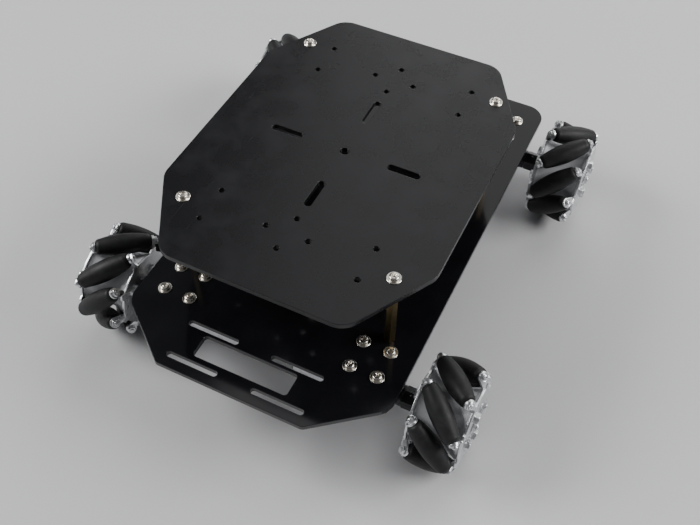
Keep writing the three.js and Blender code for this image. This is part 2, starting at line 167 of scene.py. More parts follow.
def panel(name, outline, holes, thickness, edge=0.25):
    """A sheet cut to an outline with holes, lying on z = 0, with its cut edges eased by a small bevel."""
    curve = bpy.data.curves.new(name, "CURVE")
    curve.dimensions = "2D"
    curve.fill_mode = "BOTH"
    curve.extrude = thickness / 2 - edge
    curve.bevel_depth = edge
    curve.bevel_resolution = 2
    curve.offset = -edge
    for loop in [outline, *holes]:
        spline = curve.splines.new("POLY")
        spline.points.add(len(loop) - 1)
        for point, (x, y) in zip(spline.points, loop):
            point.co = (x, y, 0, 1)
        spline.use_cyclic_u = True
    maker = bpy.data.objects.new(name, curve)
    bpy.context.scene.collection.objects.link(maker)
    bpy.context.view_layer.update()
    drawn = bpy.data.meshes.new_from_object(maker.evaluated_get(bpy.context.evaluated_depsgraph_get()))
    bpy.data.objects.remove(maker)
    bm = bmesh.new()
    bm.from_mesh(drawn)
    bpy.data.meshes.remove(drawn)
    bmesh.ops.translate(bm, verts=bm.verts, vec=(0, 0, thickness / 2))
    return from_bmesh(name, bm, smooth=12)


def revolve(bm, profile, segments=48, radius_at=None):
    """A closed turned body about X, from (x, radius) pairs whose ends lie on the axis.
    radius_at(radius, angle) may shape a ring, as a hexagon does."""
    rings = []
    for x, radius in profile:
        if radius < 1e-6:
            rings.append([bm.verts.new((x, 0, 0))])
            continue
        ring = []
        for i in range(segments):
            angle = 2 * math.pi * i / segments
            r = radius_at(radius, angle) if radius_at else radius
            ring.append(bm.verts.new((x, r * math.cos(angle), r * math.sin(angle))))
        rings.append(ring)
    for low, high in zip(rings, rings[1:]):
        for i in range(segments):
            j = (i + 1) % segments
            corners = [low[i % len(low)], low[j % len(low)], high[j % len(high)], high[i % len(high)]]
            face = list(dict.fromkeys(corners))
            if len(face) > 2:
                bm.faces.new(face)
    return [vert for ring in rings for vert in ring]


def turned(name, profile, segments=48, radius_at=None, smooth=32):
    bm = bmesh.new()
    revolve(bm, profile, segments, radius_at)
    return from_bmesh(name, bm, smooth)


def hexagon(flat_to_centre):
    """Ring shape that cuts a round ring down to a hexagon with that distance from centre to flat."""
    def radius_at(radius, angle):
        off = (angle + math.pi / 6) % (math.pi / 3) - math.pi / 6
        return min(radius, flat_to_centre / math.cos(off))
    return radius_at


def merged(name, meshes, smooth=32):
    """Several meshes as one, each given as (mesh, matrix)."""
    bm = bmesh.new()
    for mesh, matrix in meshes:
        part = mesh.copy()
        part.transform(matrix)
        if matrix.determinant() < 0:
            part.flip_normals()
        bm.from_mesh(part)
        bpy.data.meshes.remove(part)
    mesh = bpy.data.meshes.new(name)
    bm.to_mesh(mesh)
    bm.free()
    shade(mesh, smooth)
    return mesh


def carved(mesh, cutter, operation="DIFFERENCE", smooth=32):
    """The mesh after a boolean with a cutter mesh."""
    body = bpy.data.objects.new(mesh.name, mesh)
    tool = bpy.data.objects.new("tool", cutter)
    for obj in (body, tool):
        bpy.context.scene.collection.objects.link(obj)
    modifier = body.modifiers.new("cut", "BOOLEAN")
    modifier.operation = operation
    modifier.solver = "EXACT"
    modifier.use_self = True
    modifier.object = tool
    bpy.context.view_layer.update()
    result = bpy.data.meshes.new_from_object(body.evaluated_get(bpy.context.evaluated_depsgraph_get()))
    bpy.data.objects.remove(body)
    bpy.data.objects.remove(tool)
    shade(result, smooth)
    return result


# STAND puts an outline into YZ with its thickness along X. UPRIGHT turns a turned body's X axis up to Z.
STAND = Matrix(((0, 0, 1, 0), (1, 0, 0, 0), (0, 1, 0, 0), (0, 0, 0, 1)))
UPRIGHT = Matrix.Rotation(-math.pi / 2, 4, "Y")
AS_MADE = Matrix.Identity(4)
HALF_TURN = Matrix.Rotation(math.pi, 4, "Z")
LEAN = Matrix.Rotation(math.pi / 4, 4, "Z")
MIRROR = Matrix.Diagonal((1, -1, 1, 1))


def spin(angle):
    return Matrix.Rotation(angle, 4, "X")


def shift(x=0.0, y=0.0, z=0.0):
    return Matrix.Translation((x, y, z))


# ---------------------------------------------------------------- materials


class Surface:
    """A Principled material whose colour, roughness and relief are drawn by procedural nodes."""

    def __init__(self, slot, roughness, metallic=0.0, tone=1.0, **sockets):
        self.colour = tuple(tone * channel for channel in SLOTS[slot]["base_color"][:3])
        self.material = bpy.data.materials.new(slot)
        self.material.use_nodes = True
        self.tree = self.material.node_tree
        self.shader = self.tree.nodes["Principled BSDF"]
        self.shader.inputs["Roughness"].default_value = roughness
        self.shader.inputs["Metallic"].default_value = metallic
        self.shader.inputs["Base Color"].default_value = (*self.colour, 1)
        for name, value in sockets.items():
            self.shader.inputs[name.replace("_", " ")].default_value = value
        self.coordinates = self.node("ShaderNodeTexCoord").outputs["Object"]
        self.relief = None

    def node(self, kind, inputs=None, **settings):
        made = self.tree.nodes.new(kind)
        for name, value in settings.items():
            setattr(made, name, value)
        for name, value in (inputs or {}).items():
            if isinstance(value, bpy.types.NodeSocket):
                self.tree.links.new(value, made.inputs[name])
            else:
                made.inputs[name].default_value = value
        return made

    def stretched(self, stretch):
        inputs = {"Vector": self.coordinates, "Scale": stretch}
        return self.node("ShaderNodeMapping", inputs).outputs["Vector"]

    def noise(self, per_metre, detail=4.0, roughness=0.55, stretch=(1, 1, 1)):
        vector = self.stretched(stretch)
        inputs = {"Vector": vector, "Scale": per_metre, "Detail": detail, "Roughness": roughness}
        return self.node("ShaderNodeTexNoise", inputs).outputs["Fac"]

    def cells(self, per_metre):
        inputs = {"Vector": self.coordinates, "Scale": per_metre}
        return self.node("ShaderNodeTexVoronoi", inputs).outputs["Distance"]

    def rings(self, per_metre):
        """Fine tool marks around X: a noise that changes only along X and with radius."""
        split = self.node("ShaderNodeSeparateXYZ", {"Vector": self.coordinates}).outputs
        squares = [self.calculate("MULTIPLY", split[axis], split[axis]) for axis in "YZ"]
        radius = self.calculate("SQRT", self.calculate("ADD", *squares))
        vector = self.node("ShaderNodeCombineXYZ", {"X": split["X"], "Y": radius}).outputs[0]
        inputs = {"Vector": vector, "Scale": per_metre, "Detail": 3.0, "Roughness": 0.7}
        return self.node("ShaderNodeTexNoise", inputs).outputs["Fac"]

    def calculate(self, operation, a, b=0.0):
        made = self.node("ShaderNodeMath", {0: a, 1: b}, operation=operation)
        return made.outputs[0]

    def ranged(self, value, low, high, to_low=0.0, to_high=1.0):
        inputs = {"Value": value, "From Min": low, "From Max": high, "To Min": to_low, "To Max": to_high}
        return self.node("ShaderNodeMapRange", inputs).outputs["Result"]

    def edges(self, radius=0.35):
        """1 along convex and concave edges, fading to 0 on flat ground within the radius in millimetres."""
        rounded = self.node("ShaderNodeBevel", {"Radius": radius * MM}, samples=4).outputs["Normal"]
        plain = self.node("ShaderNodeNewGeometry").outputs["Normal"]
        dot = self.node("ShaderNodeVectorMath", {0: rounded, 1: plain}, operation="DOT_PRODUCT")
        return self.ranged(dot.outputs["Value"], 0.995, 0.85)

    def mix_colour(self, mask, colour):
        """Blends towards a colour where the mask is 1."""
        socket = self.shader.inputs["Base Color"]
        before = socket.links[0].from_socket if socket.links else None
        mix = self.node("ShaderNodeMix", data_type="RGBA")
        self.tree.links.new(mask, mix.inputs["Factor"])
        if before:
            self.tree.links.new(before, mix.inputs["A"])
        else:
            mix.inputs["A"].default_value = socket.default_value
        mix.inputs["B"].default_value = (*colour, 1)
        self.tree.links.new(mix.outputs["Result"], socket)
        return self

    def mottled(self, mask, gain):
        """Blends towards a lighter or darker version of its own colour."""
        return self.mix_colour(mask, [min(1, c * gain) for c in self.colour])

    def rough(self, mask, low, high):
        self.tree.links.new(self.ranged(mask, 0.0, 1.0, low, high), self.shader.inputs["Roughness"])
        return self

    def raised(self, height, depth, strength=1.0):
        """Adds relief, with its depth in millimetres, over any relief already there."""
        bump = self.node("ShaderNodeBump", {"Height": height, "Distance": depth * MM, "Strength": strength})
        if self.relief:
            self.tree.links.new(self.relief, bump.inputs["Normal"])
        self.relief = bump.outputs["Normal"]
        self.tree.links.new(self.relief, self.shader.inputs["Normal"])
        return self


def satin_acrylic():
    s = Surface("satin_acrylic", 0.3, tone=0.5, Specular_IOR_Level=0.4)
    dust = s.ranged(s.noise(60, 6), 0.45, 0.8)
    specks = s.ranged(s.noise(2600, 2), 0.72, 0.8)
    scratches = s.ranged(s.noise(900, 3, stretch=(1, 0.03, 1)), 0.66, 0.74)
    # The edges mix is painted shade: the deck's cut edges get the dark tone of edge faces in shade.
    s.mottled(dust, 1.9).mix_colour(specks, (0.04, 0.04, 0.045)).mix_colour(s.edges(), (0.016, 0.016, 0.018))
    s.rough(s.calculate("MAXIMUM", dust, scratches), 0.27, 0.42)
    return s.raised(s.noise(1800, 3), 0.004, 0.5).raised(scratches, 0.003, 0.4).material


def gloss_acrylic():
    s = Surface("gloss_acrylic", 0.1, tone=0.6, Specular_IOR_Level=0.45)
    haze = s.ranged(s.noise(35, 5), 0.4, 0.85)
    scratches = s.ranged(s.noise(1100, 3, stretch=(0.03, 1, 1)), 0.68, 0.76)
    s.mottled(haze, 1.8).mix_colour(s.edges(), (0.03, 0.03, 0.035))
    s.rough(s.calculate("MAXIMUM", haze, scratches), 0.09, 0.22)
    return s.raised(s.noise(1500, 2), 0.002, 0.3).raised(scratches, 0.003, 0.3).material


def metal(slot, roughness, spread, grain=0.006, stain=0.75, wear=1.25, metallic=1.0, tone=1.0):
    """Bare or plated metal: cloudy stains, grain, and brighter rubbed edges."""
    s = Surface(slot, roughness, metallic, tone)
    clouds = s.ranged(s.noise(220, 5), 0.35, 0.75)
    s.mottled(clouds, stain).mottled(s.edges(0.25), wear)
    s.rough(clouds, roughness, roughness + spread)
    return s.raised(s.noise(3500, 3), grain, 0.5)


def nickel_screw():
    s = metal("nickel_screw", 0.2, 0.12, grain=0.004, stain=0.85)
    return s.raised(s.rings(6000), 0.003, 0.3).material


def brass():
    # tone 0.4 is painted shade: it darkens all the brass to the dim look of standoffs in shade under the deck.
    s = metal("brass", 0.3, 0.16, stain=0.62, tone=0.4)
    s.mix_colour(s.ranged(s.noise(500, 4), 0.6, 0.75), (0.2, 0.13, 0.05))
    return s.material


def black_bracket():
    s = Surface("black_bracket", 0.45)
    clouds = s.ranged(s.noise(150, 4), 0.35, 0.8)
    chips = s.calculate("MULTIPLY", s.edges(0.5), s.ranged(s.noise(1500, 4), 0.55, 0.65))
    s.mottled(clouds, 1.8).mix_colour(chips, (0.3, 0.3, 0.31))
    s.rough(clouds, 0.38, 0.55)
    return s.raised(s.noise(2400, 2), 0.03, 0.45).material


def motor_steel():
    s = metal("motor_steel", 0.3, 0.15, stain=0.8)
    return s.raised(s.rings(3500), 0.01, 0.5).material


def black_anodised():
    s = Surface("black_anodised", 0.32, metallic=0.6)
    s.mottled(s.ranged(s.noise(300, 4), 0.4, 0.8), 1.7).mix_colour(s.edges(0.3), (0.22, 0.22, 0.23))
    s.rough(s.noise(700, 4), 0.26, 0.42)
    return s.raised(s.rings(5000), 0.005, 0.4).material


def plated_steel():
    s = metal("plated_steel", 0.26, 0.14, grain=0.005, stain=0.86, wear=1.15)
    drawn = s.noise(900, 4, stretch=(1, 1, 0.12))
    return s.raised(drawn, 0.005, 0.25).material


def satin_aluminium():
    s = metal("satin_aluminium", 0.48, 0.12, grain=0.01, stain=0.9, wear=1.1, metallic=0.25)
    return s.raised(s.rings(4200), 0.008, 0.5).material


def black_plastic():
    s = Surface("black_plastic", 0.5)
    s.mottled(s.noise(400, 5), 1.6).rough(s.noise(900, 4), 0.42, 0.6)
    return s.raised(s.cells(2600), 0.02, 0.35).material


def roller_rubber():
    s = Surface("roller_rubber", 0.55, tone=0.4, Specular_IOR_Level=0.3)
    dust = s.ranged(s.noise(260, 6), 0.42, 0.8)
    scuffs = s.ranged(s.noise(1400, 4, stretch=(0.15, 1, 1)), 0.62, 0.75)
    s.mottled(dust, 1.9).mix_colour(scuffs, (0.035, 0.035, 0.036))
    s.rough(s.calculate("MAXIMUM", dust, scuffs), 0.5, 0.7)
    return s.raised(s.noise(2600, 4), 0.02, 0.5).raised(s.cells(1500), 0.01, 0.3).material


MAKERS = (satin_acrylic, gloss_acrylic, nickel_screw, brass, black_bracket, motor_steel, black_anodised,
          plated_steel, satin_aluminium, black_plastic, roller_rubber)
MATERIALS = {maker.__name__: maker() for maker in MAKERS}

# ---------------------------------------------------------------- placing pieces


def place(name, mesh, slot, body, matrix=None, replaces=()):
    """Puts a mesh in millimetres into the scene, in metres, riding on a body.
    The turn goes into its vertices."""
    matrix = matrix or Matrix.Identity(4)
    own = mesh.copy()
    own.name = name
    own.transform(matrix.to_3x3().to_4x4() @ Matrix.Scale(MM, 4))
    own.materials.clear()
    own.materials.append(MATERIALS[slot])
    obj = bpy.data.objects.new(name, own)
    bpy.context.scene.collection.objects.link(obj)
    obj.matrix_world = Matrix.Translation(matrix.translation)
    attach(obj, body)
    if replaces:
        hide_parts(*replaces)
    return obj


def in_metres(matrix):
    """A millimetre placing matrix, with its translation in metres."""
    scaled = matrix.copy()
    scaled.translation = matrix.translation * MM
    return scaled


def middle(node):
    low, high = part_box(node)
    return (low + high) / 2


# ---------------------------------------------------------------- decks


def deck():
    low, high = (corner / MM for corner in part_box("deck"))
    centre = (low + high) / 2
    half = (high - low) / 2
    cut_x, cut_y = DECK_CUT
    right = [(half.x, -half.y + cut_y), (half.x, half.y - cut_y), (half.x - cut_x, half.y)]
    left = [(-half.x + cut_x, half.y), (-half.x, half.y - cut_y), (-half.x, -half.y + cut_y)]
    front = [(-half.x + cut_x, -half.y), (half.x - cut_x, -half.y)]
    outline = rounded_polygon([(x, y, DECK_CORNER_R) for x, y in right + left + front])

    holes = [circle(0, 0, DECK_CENTRE_HOLE_R)]
    reach = (DECK_SLOT["length"] - DECK_SLOT["width"]) / 2
    for side in (-1, 1):
        near, far = side * DECK_SLOT["centre"] - reach, side * DECK_SLOT["centre"] + reach
        holes.append(slot_outline(near, 0, far, 0, DECK_SLOT["width"]))
        holes.append(slot_outline(0, near, 0, far, DECK_SLOT["width"]))
        y, (dx, dy) = DECK_DIAMOND
        for hole_x, hole_y in ((-dx, 0), (dx, 0), (0, -dy), (0, dy)):
            holes.append(circle(hole_x, side * y + hole_y, DECK_HOLE_R))
    for y in DECK_GRID[1]:
        holes += [circle(x, hole_y, DECK_HOLE_R) for x, hole_y in four_ways(DECK_GRID[0], y)]
    for corner in CORNERS:
        screw = middle(f"deck_screw_{corner}") / MM - centre
        holes.append(circle(screw.x, screw.y, SCREW_HOLE_R))
    mesh = panel("deck_panel", outline, holes, DECK_THICKNESS, edge=0.22)
    spot = Vector((centre.x, centre.y, low.z)) * MM
    place("deck_panel", mesh, "satin_acrylic", "chassis", shift(*spot), ["deck"])


def bracket_screws():
    """(corner, number, x, y) of the sixteen screws through the lower plate."""
    found = []
    for corner in CORNERS:
        hub = Vector(JOINTS[f"wheel_{corner}_spin"]["pos_m"]) / MM
        side = math.copysign(1, hub.x)
        spots = [(side * x, hub.y + along * BRACKET["screws_y"])
                 for x in BRACKET["screws_x"] for along in (-1, 1)]
        found += [(corner, i + 1, x, y) for i, (x, y) in enumerate(spots)]
    return found


def lower_plate():
    low, high = (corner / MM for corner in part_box("lower_plate"))
    nose, rear, half = low.y, high.y, high.x
    right = [(NOSE_HALF_WIDTH, nose, 4), (half, nose + NOSE_SHOULDER, 13), (half, rear, 11)]
    outline = rounded_polygon(right + [(-x, y, r) for x, y, r in reversed(right)])
    holes = []
    end = NOSE_SLOT["width"] / 2
    for setback in NOSE_SLOT["setbacks"]:
        for side in (-1, 1):
            near, far = side * (NOSE_SLOT["inner"] + end), side * (NOSE_SLOT["outer"] - end)
            holes.append(slot_outline(near, nose + setback, far, nose + setback, NOSE_SLOT["width"]))
    width, corner_r = NOSE_WINDOW["half_width"], NOSE_WINDOW["corner"]
    front, back = nose + NOSE_WINDOW["front"], nose + NOSE_WINDOW["back"]
    holes.append(rounded_polygon([(width, front, corner_r), (width, back, corner_r),
                                  (-width, back, corner_r), (-width, front, corner_r)]))
    for corner in CORNERS:
        pillar = middle(f"standoff_{corner}") / MM
        holes.append(circle(pillar.x, pillar.y, SCREW_HOLE_R))
    holes += [circle(x, y, SCREW_HOLE_R) for _, _, x, y in bracket_screws()]
    mesh = panel("lower_panel", outline, holes, high.z - low.z, edge=0.22)
    place("lower_panel", mesh, "gloss_acrylic", "chassis", shift(0, 0, low.z * MM), ["lower_plate"])


# ---------------------------------------------------------------- screws, nuts and standoffs


def cross_cutter(radius, depth, top):
    """The bit that sinks a cross recess: two tapered wings and a pointed middle, along X."""
    bm = bmesh.new()
    above, wing_thinness = 1.0, 0.3
    for turn in (0, math.pi / 2):
        wing = revolve(bm, [(top - depth, 0), (top - depth * 0.8, radius * 0.45), (top, radius),
                            (top + above, radius), (top + above, 0)], 24)
        for vert in wing:
            vert.co.z *= wing_thinness
            vert.co = spin(turn) @ vert.co
    return from_bmesh("bit", bm)


def pan_screw_mesh(name, shank, head_r=SCREW_HEAD_R, height=2.1):
    """A pan head on a thin flange, seated at z = 0, with a cross recess."""
    flange, crown_r = 0.55, head_r * 0.68
    rise = height - flange
    crown = [(flange + rise * (0.4 + 0.6 * math.sin(a)), crown_r * (0.58 + 0.42 * math.cos(a)))
             for a in (math.radians(d) for d in range(0, 91, 10))]
    profile = [(-shank, 0), (-shank, 1.2), (0.3 - shank, SHANK_R), (0, SHANK_R), (0, head_r - 0.1), (0.12, head_r),
               (flange - 0.2, head_r), (flange, head_r - 0.22), (flange - 0.12, crown_r + 0.2),
               (flange - 0.12, crown_r), *crown, (height + 0.03, crown_r * 0.3), (height + 0.04, 0)]
    blank = turned(name, profile, 64, smooth=26)
    head = carved(blank, cross_cutter(crown_r * 0.68, height * 0.6, height + 0.04), smooth=26)
    head.transform(UPRIGHT)
    return head


def hex_nut_mesh(name, height, radius=NUT_R, stud=SHANK_R, proud=0.0):
    """A chamfered hex nut from x = 0 outwards, with the end of its screw showing."""
    flat = radius * math.cos(math.pi / 6)
    chamfer = 0.35
    profile = [(0, 0), (0, flat - 0.05), (chamfer, radius), (height - chamfer, radius),
               (height, flat - 0.05), (height, stud + 0.3), (height - 0.3, stud), (height - 0.3, 0)]
    body = turned(name, profile, 72, hexagon(flat), smooth=28)
    end = height + proud
    screw = turned("stud", [(0, 0), (0, stud), (end - 0.3, stud), (end, stud - 0.3), (end, 0)], 32)
    return merged(name, [(body, AS_MADE), (screw, AS_MADE)])


def fasteners():
    deck_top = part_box("deck")[1].z
    deck_screw = pan_screw_mesh("deck_screw", 8)
    for corner in CORNERS:
        spot = middle(f"deck_screw_{corner}")
        turn = Matrix.Rotation(math.radians(20 + 33 * CORNERS.index(corner)), 4, "Z")
        matrix = shift(spot.x, spot.y, deck_top) @ turn
        place(f"deck_pan_screw_{corner}", deck_screw, "nickel_screw", "chassis", matrix,
              [f"deck_screw_{corner}"])
    plate_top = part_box("lower_plate")[1].z
    bracket_screw = pan_screw_mesh("bracket_screw", 5.4)
    for corner, number, x, y in bracket_screws():
        turn = Matrix.Rotation(math.radians(47 * number + 13 * CORNERS.index(corner)), 4, "Z")
        matrix = shift(x * MM, y * MM, plate_top) @ turn
        place(f"bracket_screw_{corner}_{number}", bracket_screw, "nickel_screw", "chassis", matrix)


def standoffs():
    plate_bottom, plate_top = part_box("lower_plate")[0].z / MM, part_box("lower_plate")[1].z / MM
    deck_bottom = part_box("deck")[0].z / MM
    length = deck_bottom - plate_top
    flat = STANDOFF_FLAT
    radius = flat / math.cos(math.pi / 6)
    profile = [(0, 0), (0, flat - 0.15), (0.4, radius),
               (length - 0.4, radius), (length, flat - 0.15), (length, 0)]
    pillar = turned("hex_pillar", profile, 72, hexagon(flat))
    pillar.transform(UPRIGHT)
    nut = hex_nut_mesh("pillar_nut", 2.4, proud=0.8)
    nut.transform(Matrix.Rotation(math.pi / 2, 4, "Y"))
    for corner in CORNERS:
        spot = middle(f"standoff_{corner}")
        matrix = shift(spot.x, spot.y, plate_top * MM)
        place(f"hex_pillar_{corner}", pillar, "brass", "chassis", matrix, [f"standoff_{corner}"])
        below = shift(spot.x, spot.y, plate_bottom * MM) @ Matrix.Rotation(math.radians(12), 4, "Z")
        place(f"pillar_nut_{corner}", nut, "nickel_screw", "chassis", below)


# ---------------------------------------------------------------- drives
# Made about the axle: x runs outwards from the robot's middle, and z = 0 is the axle.

FACE_X = BRACKET["outer"] - BRACKET["thickness"]


def drive_matrix(corner):
    """From a drive's own frame to the robot's, in metres."""
    hub = Vector(JOINTS[f"wheel_{corner}_spin"]["pos_m"])
    turn = Matrix.Identity(4) if hub.x > 0 else Matrix.Rotation(math.pi, 4, "Z")
    return Matrix.Translation((0, hub.y, hub.z)) @ turn


def bracket_mesh():
    """A folded angle bracket: foot under the plate, bend, and a leg rounded about the axle."""
    top, thick, width = AXLE_TO_PLATE, BRACKET["thickness"], BRACKET["width"]
    half = width / 2
    bend = thick + BRACKET["bend"]
    inner, outer = BRACKET["inner"], BRACKET["outer"]
    inside_bend = arc(outer - bend, top - bend, BRACKET["bend"], 0, math.pi / 2)
    outside_bend = arc(outer - bend, top - bend, bend, 0, math.pi / 2)
    side_view = [(inner, top), (inner, top - thick), *reversed(inside_bend),
                 (outer - thick, -half), (outer, -half), *outside_bend]
    fold = panel("motor_bracket", side_view, [], width, edge=0.3)
    fold.transform(shift(0, half, 0) @ Matrix.Rotation(math.pi / 2, 4, "X"))
    end_view = [(half, top + 5), (-half, top + 5), *arc(0, 0, half, math.pi, 2 * math.pi)]
    die = panel("die", end_view, [], outer, edge=0.001)
    die.transform(shift(inner - 10, 0, 0) @ STAND)
    fold = carved(fold, die, "INTERSECT")
    bm = bmesh.new()
    near, far = outer - 10, outer + 5
    boss_hole_r, hole_r = BOSS_R + 0.25, MOTOR_SCREW_HOLE_R
    revolve(bm, [(near, 0), (near, boss_hole_r), (far, boss_hole_r), (far, 0)], 40)
    for side in (-1, 1):
        drill = revolve(bm, [(near, 0), (near, hole_r), (far, hole_r), (far, 0)], 24)
        for vert in drill:
            vert.co.y += side * MOTOR_SCREWS
    return carved(fold, from_bmesh("drills", bm))


def gearbox_mesh():
    """Gearbox case with its seam, its boss and the turned step towards the motor."""
    face, radius = FACE_X, GEARBOX["radius"]
    back = face - GEARBOX["length"]
    seam, mouth, mouth_r = face - 6, BRACKET["outer"] - 0.05, SHAFT_R + 0.4
    return turned("gearbox", [
        (back, 0), (back, radius - 0.5), (back + 0.4, radius), (seam - 0.35, radius),
        (seam - 0.2, radius - 0.25), (seam + 0.2, radius - 0.25), (seam + 0.35, radius),
        (face - 0.5, radius), (face, radius - 0.5), (face, BOSS_R), (BRACKET["outer"] - 0.3, BOSS_R),
        (mouth, BOSS_R - 0.25), (mouth, mouth_r), (face - 1, mouth_r), (face - 1, 0)], 96)


def can_mesh():
    """The drawn motor can: a rolled lip at the gearbox, two shallow beads, and a crimped rear edge."""
    front = FACE_X - GEARBOX["length"]
    back, r = front - CAN["length"], CAN["radius"]
    beads = []
    for x in (back + 4.5, front - 4):
        beads += [(x - 0.6, r), (x - 0.25, r - 0.22), (x + 0.25, r - 0.22), (x + 0.6, r)]
    return turned("motor_can", [(back + 1, 0), (back + 1, r - 1.6), (back + 0.1, r - 1.5), (back, r - 1.1),
                                (back + 0.4, r - 0.25), (back + 1.1, r), *beads, (front - 0.5, r),
                                (front, r - 0.4), (front, 0)], 96)


def cap_mesh():
    """The moulded end cap inside the crimp, with a raised bearing house."""
    back = FACE_X - GEARBOX["length"] - CAN["length"]
    return turned("end_cap", [
        (back - 1.9, 0), (back - 1.9, 2.2), (back - 1.7, 2.6), (back - 1.6, 4.7), (back - 1.2, 5),
        (back + 0.3, 5.1), (back + 0.5, 10.2), (back + 1.2, 10.3), (back + 1.2, 0)], 64)


def terminals_mesh():
    """Two solder tags, each a flat sheet with a wire hole."""
    back = FACE_X - GEARBOX["length"] - CAN["length"]
    tag = panel("tag", rounded_polygon([(0, -1.3, 0.2), (4.6, -1.3, 0.2), (4.6, 1.3, 0.2), (0, 1.3, 0.2)]),
                [circle(1.2, 0, 0.55)], 0.5, edge=0.08)
    places = [(tag, shift(back - 4, side * 8, 0) @ Matrix.Rotation(math.pi / 2, 4, "X")) for side in (-1, 1)]
    return merged("terminals", places)


def coupling_mesh(start, seat):
    """A hex coupling, chamfered at its ends, with a round collar towards the motor."""
    flat = COUPLING_R * math.cos(math.pi / 6)
    end, rim = seat - 0.1, COUPLING_R - 0.3
    body = turned("coupling_hex", [
        (start + 3, 0), (start + 3, flat - 0.1), (start + 3.5, COUPLING_R), (seat - 0.6, COUPLING_R),
        (end, flat), (end, 0)], 96, hexagon(flat))
    collar = turned("coupling_collar", [
        (start, 0), (start, SHAFT_R + 0.2), (start, COUPLING_R - 0.7), (start + 0.4, rim),
        (start + 2.8, rim), (start + 3.2, COUPLING_R - 0.9), (start + 3.2, 0)], 72)
    return merged("coupling", [(body, AS_MADE), (collar, AS_MADE)])


def grub_mesh(x):
    """A socket grub screw in the coupling's flat."""
    profile = [(0, 0), (0, 1.4), (1.6, 1.4), (1.75, 1.25), (1.75, 0.8), (0.8, 0.8), (0.8, 0)]
    screw = turned("grub_screw", profile, 36)
    screw.transform(shift(x, 0, COUPLING_R - 2.4) @ UPRIGHT)
    return screw


def drives():
    wheel_x = abs(JOINTS["wheel_fr_spin"]["pos_m"][0]) / MM
    seat = wheel_x - WHEEL_HALF
    start = BRACKET["outer"] + 2.6
    screw = pan_screw_mesh("gearbox_screw", 3, head_r=2.8, height=1.9)
    screw.transform(UPRIGHT.inverted())
    shaft = turned("output_shaft", [(FACE_X, 0), (FACE_X, SHAFT_R), (start + 1, SHAFT_R), (start + 1, 0)], 40)
    parts = [
        ("bracket", bracket_mesh(), "black_bracket", "chassis", "motor_bracket_"),
        ("gearbox", gearbox_mesh(), "motor_steel", "chassis", "gearmotor_"),
        ("motor_can", can_mesh(), "motor_steel", "chassis", None),
        ("motor_end_cap", cap_mesh(), "black_plastic", "chassis", None),
        ("motor_terminals", terminals_mesh(), "brass", "chassis", None),
        ("coupling", coupling_mesh(start, seat), "black_anodised", "wheel_", "shaft_coupling_"),
        ("output_shaft", shaft, "motor_steel", "wheel_", None),
        ("grub_screw", grub_mesh(start + 7), "nickel_screw", "wheel_", None),
    ]
    for corner in CORNERS:
        matrix = drive_matrix(corner)
        for name, mesh, slot, body, node in parts:
            rides = body + corner if body.endswith("_") else body
            place(f"{name}_{corner}", mesh, slot, rides, matrix, [node + corner] if node else ())
        for number, side in enumerate((-1, 1), 1):
            spot = matrix @ in_metres(shift(BRACKET["outer"], side * MOTOR_SCREWS, 0) @ spin(0.6 * number))
            place(f"gearbox_screw_{corner}_{number}", screw, "nickel_screw", "chassis", spot)


# ---------------------------------------------------------------- wheels
# Made about the wheel's middle: x is the axle with +x outwards, and roller 1 is at +z.


def tread_radius(along):
    """The roller's radius that just reaches the tread circle, at a distance along its 45 degree axis."""
    sideways = along * math.sin(math.pi / 4)
    low, high = 0.0, WHEEL_R
    for _ in range(24):
        radius = (low + high) / 2
        reach = max(math.hypot(sideways + radius * math.sin(a) * math.cos(math.pi / 4),
                               ROLLER_AXIS_R + radius * math.cos(a))
                    for a in (math.radians(step) for step in range(0, 91, 3)))
        low, high = (low, radius) if reach > WHEEL_R else (radius, high)
    return low


def roller_mesh():
    """A moulded barrel: tread curve, rounded shoulders and a dished end round the bushing."""
    count = 10
    tread = [(x, tread_radius(x)) for x in (ROLLER_SHOULDER * i / count for i in range(count + 1))]
    shoulder_r = tread[-1][1]
    run, drop = ROLLER_HALF - 0.15 - ROLLER_SHOULDER, shoulder_r - ROLLER_END_R + 0.35
    ease = [(ROLLER_SHOULDER + run * math.sin(t), shoulder_r - drop * (1 - math.cos(t)) - 0.12 * math.sin(t))
            for t in (math.pi / 2 * i / 8 for i in range(1, 9))]
    dish = [(ROLLER_HALF - 0.1, 2.3), (ROLLER_HALF - 0.5, 2.1), (ROLLER_HALF - 0.6, 1.75), (8, 1.7)]
    half = tread + ease + dish
    profile = [(-x, r) for x, r in reversed(half[1:])] + half
    bm = bmesh.new()
    verts = revolve(bm, profile, ROLLER_SEGMENTS)
    first, last = verts[:ROLLER_SEGMENTS], verts[-ROLLER_SEGMENTS:]
    for i in range(ROLLER_SEGMENTS):
        j = (i + 1) % ROLLER_SEGMENTS
        bm.faces.new((last[i], last[j], first[j], first[i]))
    return from_bmesh("roller_tread", bm, smooth=40)


def bush_mesh():
    """The two flanged bushings in a roller's ends, clear of its pin and of both ears."""
    back, lip, bore = ROLLER_HALF - 3, ROLLER_HALF - 0.25, BUSH_BORE_R
    profile = [(back, bore), (ROLLER_HALF, bore), (ROLLER_HALF, 2.0), (lip, 2.05),
               (lip, 1.68), (back, 1.68), (back, bore)]
    one = turned("bush", profile, 36)
    return merged("roller_bush", [(one, AS_MADE), (one, HALF_TURN)])


